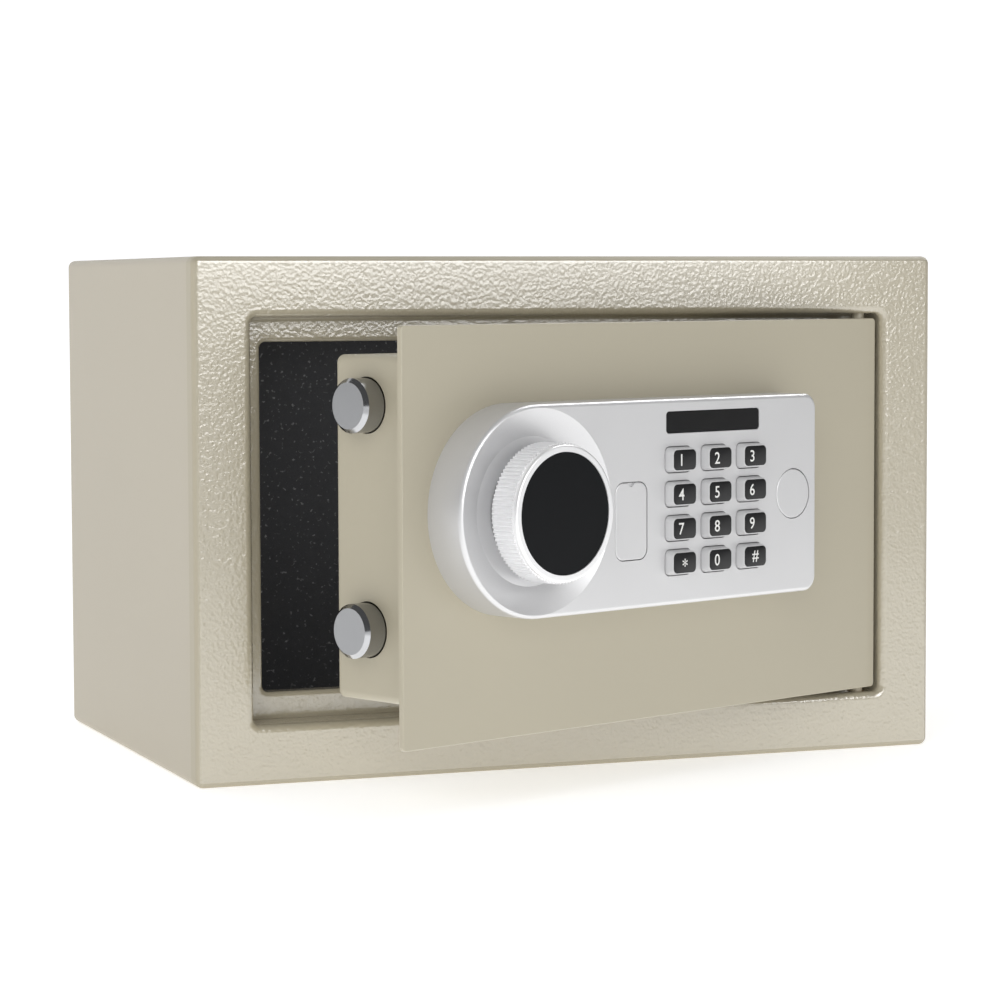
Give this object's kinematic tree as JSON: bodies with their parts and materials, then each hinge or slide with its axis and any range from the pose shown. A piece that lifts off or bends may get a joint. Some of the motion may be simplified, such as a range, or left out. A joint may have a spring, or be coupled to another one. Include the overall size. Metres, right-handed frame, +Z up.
{
  "type": "in room safe",
  "caption": "Small steel room safe with a recessed hinged door, a silver keypad panel and knob, and two round locking bolts.",
  "frame": {"origin": "centre of the base, on the surface the safe stands on", "axes": "+X to the hinge side, -Y out of the front, +Y out of the back, +Z up"},
  "size_m": [0.31, 0.3163, 0.2],
  "materials": {
    "shell_paint": "warm beige powder coat, smooth satin",
    "frame_paint": "warm beige powder coat, glossy with a pebbled orange-peel skin",
    "door_paint": "warm beige powder coat, smooth satin",
    "black_felt": "black felt",
    "grey_felt": "speckled grey felt",
    "silver_plastic": "silver satin moulded plastic",
    "key_grey": "light grey key body under a black printed top",
    "black_plastic": "fine-grained moulded black",
    "knob_black": "smooth black disc",
    "smoked_window": "dark smoked window",
    "bolt_chrome": "polished chrome plate",
    "zinc_steel": "bright zinc plate",
    "steel": "plain turned steel",
    "brass": "plain turned brass",
    "board_green": "green solder mask",
    "grey_rubber": "silicone rubber",
    "black_rubber": "black rubber",
    "copper_winding": "enamelled copper winding",
    "battery_jacket": "plain printed battery jacket",
    "red_plastic": "red moulded plastic"
  },
  "bodies": {
    "safe_body": {"body_wrap": "shell_paint", "front_frame": "frame_paint", "back_panel": "shell_paint", "back_lining": "black_felt", "floor_mat": "grey_felt", "hinge_bushes": "brass"},
    "door": {"door_plate": "door_paint", "hinge_knuckles": "door_paint", "hinge_pins": "steel", "lock_box_posts": "zinc_steel", "lock_box": "door_paint", "lock_box_screws": "zinc_steel", "panel_housing": "silver_plastic", "panel_screws": "zinc_steel", "display_window": "smoked_window", "display_module": "black_plastic", "circuit_board": "board_green", "keypad_membrane": "grey_rubber", "power_socket": "black_plastic", "cylinder_body": "brass", "cylinder_nut": "zinc_steel", "shaft_bush": "brass", "guide_studs": "zinc_steel", "solenoid_frame": "zinc_steel", "solenoid_coil": "copper_winding", "solenoid_spring": "steel", "battery_tray": "black_plastic", "batteries": "battery_jacket", "reset_switch": "black_plastic", "battery_lead": "black_rubber", "lead_grommet": "black_rubber"},
    "knob": {"knob": "silver_plastic", "knob_disc": "knob_black", "knob_shaft": "steel", "drive_crank": "zinc_steel", "crank_screw": "zinc_steel"},
    "bolt_carriage": {"bolt_carriage": "zinc_steel", "locking_bolts": "bolt_chrome", "bolt_screws": "zinc_steel"},
    "solenoid_plunger": {"solenoid_plunger": "steel"},
    "cylinder_plug": {"cylinder_plug": "brass", "cylinder_cam": "zinc_steel"},
    "keyhole_cap": {"keyhole_cap": "silver_plastic"},
    "power_cover": {"power_cover": "silver_plastic"},
    "battery_cover": {"battery_cover": "black_plastic"},
    "reset_button": {"reset_button": "red_plastic"},
    "key_1": {"key_1": "key_grey"},
    "key_2": {"key_2": "key_grey"},
    "key_3": {"key_3": "key_grey"},
    "key_4": {"key_4": "key_grey"},
    "key_5": {"key_5": "key_grey"},
    "key_6": {"key_6": "key_grey"},
    "key_7": {"key_7": "key_grey"},
    "key_8": {"key_8": "key_grey"},
    "key_9": {"key_9": "key_grey"},
    "key_star": {"key_star": "key_grey"},
    "key_0": {"key_0": "key_grey"},
    "key_hash": {"key_hash": "key_grey"}
  },
  "joints": [
    {"name": "door_hinge", "type": "hinge", "parent": "safe_body", "child": "door", "pos_m": [0.1254, -0.0935, 0.1], "axis": [0, 0, 1], "range_deg": [-23, 72]},
    {"name": "knob_turn", "type": "hinge", "parent": "door", "child": "knob", "pos_m": [-0.0524, -0.19776, 0.108], "axis": [0.3907, -0.9205, 0], "range_deg": [0, 80]},
    {"name": "bolt_slide", "type": "slide", "parent": "door", "child": "bolt_carriage", "axis": [-0.9205, -0.3907, 0], "range_m": [0, 0.016]},
    {"name": "plunger_slide", "type": "slide", "parent": "door", "child": "solenoid_plunger", "axis": [0, 0, 1], "range_m": [0, 0.004], "deforming": ["solenoid_spring"]},
    {"name": "override_turn", "type": "hinge", "parent": "door", "child": "cylinder_plug", "pos_m": [0.06682, -0.12543, 0.108], "axis": [-0.3907, 0.9205, 0], "range_deg": [0, 90]},
    {"name": "keyhole_cap_pull", "type": "slide", "parent": "door", "child": "keyhole_cap", "axis": [0.3907, -0.9205, 0], "range_m": [0, 0.015]},
    {"name": "power_cover_pull", "type": "slide", "parent": "door", "child": "power_cover", "axis": [0.3907, -0.9205, 0], "range_m": [0, 0.015]},
    {"name": "battery_cover_pull", "type": "slide", "parent": "door", "child": "battery_cover", "axis": [-0.3907, 0.9205, 0], "range_m": [0, 0.02]},
    {"name": "reset_press", "type": "slide", "parent": "door", "child": "reset_button", "axis": [0.3907, -0.9205, 0], "range_m": [0, 0.0015], "stiffness_N_per_m": 300},
    {"name": "key_1_press", "type": "slide", "parent": "door", "child": "key_1", "axis": [-0.3907, 0.9205, 0], "range_m": [0, 0.0011], "stiffness_N_per_m": 400},
    {"name": "key_2_press", "type": "slide", "parent": "door", "child": "key_2", "axis": [-0.3907, 0.9205, 0], "range_m": [0, 0.0011], "stiffness_N_per_m": 400},
    {"name": "key_3_press", "type": "slide", "parent": "door", "child": "key_3", "axis": [-0.3907, 0.9205, 0], "range_m": [0, 0.0011], "stiffness_N_per_m": 400},
    {"name": "key_4_press", "type": "slide", "parent": "door", "child": "key_4", "axis": [-0.3907, 0.9205, 0], "range_m": [0, 0.0011], "stiffness_N_per_m": 400},
    {"name": "key_5_press", "type": "slide", "parent": "door", "child": "key_5", "axis": [-0.3907, 0.9205, 0], "range_m": [0, 0.0011], "stiffness_N_per_m": 400},
    {"name": "key_6_press", "type": "slide", "parent": "door", "child": "key_6", "axis": [-0.3907, 0.9205, 0], "range_m": [0, 0.0011], "stiffness_N_per_m": 400},
    {"name": "key_7_press", "type": "slide", "parent": "door", "child": "key_7", "axis": [-0.3907, 0.9205, 0], "range_m": [0, 0.0011], "stiffness_N_per_m": 400},
    {"name": "key_8_press", "type": "slide", "parent": "door", "child": "key_8", "axis": [-0.3907, 0.9205, 0], "range_m": [0, 0.0011], "stiffness_N_per_m": 400},
    {"name": "key_9_press", "type": "slide", "parent": "door", "child": "key_9", "axis": [-0.3907, 0.9205, 0], "range_m": [0, 0.0011], "stiffness_N_per_m": 400},
    {"name": "key_star_press", "type": "slide", "parent": "door", "child": "key_star", "axis": [-0.3907, 0.9205, 0], "range_m": [0, 0.0011], "stiffness_N_per_m": 400},
    {"name": "key_0_press", "type": "slide", "parent": "door", "child": "key_0", "axis": [-0.3907, 0.9205, 0], "range_m": [0, 0.0011], "stiffness_N_per_m": 400},
    {"name": "key_hash_press", "type": "slide", "parent": "door", "child": "key_hash", "axis": [-0.3907, 0.9205, 0], "range_m": [0, 0.0011], "stiffness_N_per_m": 400}
  ],
  "couplings": [
    {"joint": "knob_turn", "follows": "bolt_slide", "rad_per_m": 87.26}
  ]
}
